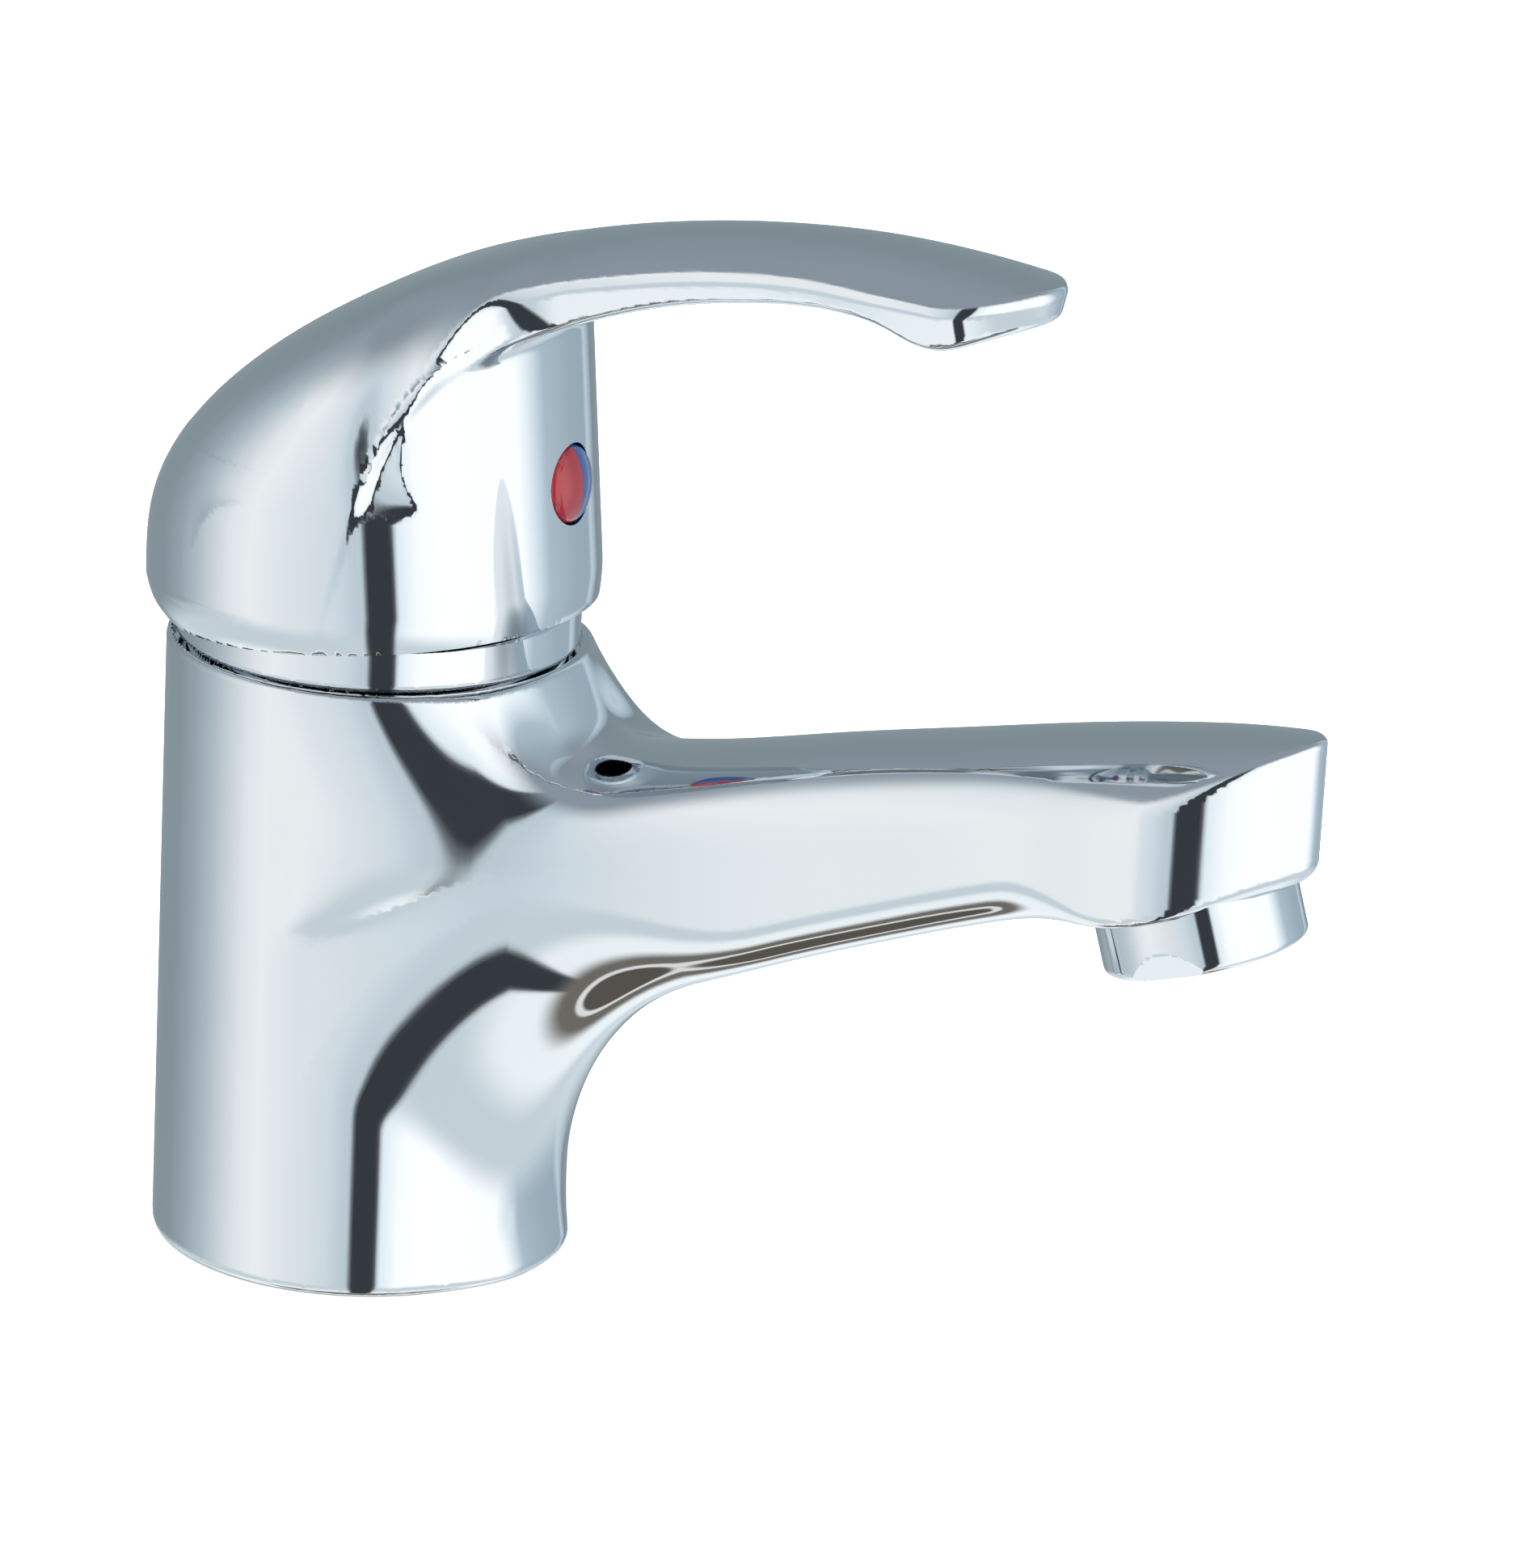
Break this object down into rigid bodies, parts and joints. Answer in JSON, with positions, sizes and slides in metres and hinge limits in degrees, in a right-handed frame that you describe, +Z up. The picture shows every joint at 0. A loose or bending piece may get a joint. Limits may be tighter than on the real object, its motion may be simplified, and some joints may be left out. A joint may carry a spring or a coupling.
{
  "type": "bathroom mixer faucet",
  "caption": "Single-lever basin mixer: cast column with fixed spout, arched lever over a cap ring, ceramic-disc cartridge, index plug and tilted aerator.",
  "frame": {"origin": "middle of the base on the deck plane, on the column's axis", "axes": "+Z up along the column, +X along the spout"},
  "size_m": [0.1501, 0.0548, 0.1349],
  "materials": {
    "chrome": "polished chromium plate",
    "rubber": "moulded black EPDM",
    "grey_plastic": "moulded grey acetal",
    "white_plastic": "moulded white acetal",
    "ceramic": "lapped alumina",
    "steel": "drawn stainless steel",
    "brass": "turned brass",
    "red_plastic": "glossy moulded red",
    "blue_plastic": "glossy moulded blue"
  },
  "bodies": {
    "root": {"body_casting": "chrome", "base_seal": "rubber", "port_seals": "rubber", "cartridge_base": "grey_plastic", "base_o_ring": "rubber", "fixed_disc": "ceramic", "cartridge_housing": "white_plastic", "retaining_nut": "brass", "ring_gasket": "rubber", "cap_ring": "chrome", "aerator_housing": "chrome", "aerator_washer": "rubber", "aerator_basket": "grey_plastic", "aerator_flow_plate": "white_plastic", "aerator_screens": "steel", "aerator_outlet_grid": "grey_plastic"},
    "rotor": {"stem_holder": "grey_plastic", "stem_o_ring": "rubber", "stem_pin": "steel"},
    "lever": {"lever_stem": "steel", "lever_handle": "chrome", "set_screw": "steel", "index_plug_red": "red_plastic", "index_plug_blue": "blue_plastic"},
    "slider": {"moving_disc": "ceramic", "disc_carrier": "grey_plastic"}
  },
  "joints": [
    {"name": "handle_swivel", "type": "hinge", "parent": "root", "child": "rotor", "pos_m": [0, 0, 0.064], "axis": [0, 0, 1], "range_deg": [-50, 50]},
    {"name": "lever_tilt", "type": "hinge", "parent": "rotor", "child": "lever", "pos_m": [0, 0, 0.064], "axis": [0, -1, 0], "range_deg": [0, 24]},
    {"name": "disc_slide", "type": "slide", "parent": "rotor", "child": "slider", "axis": [1, 0, 0], "range_m": [0, 0.0033]}
  ],
  "couplings": [
    {"joint": "disc_slide", "follows": "lever_tilt", "m_per_rad": 0.00751}
  ]
}
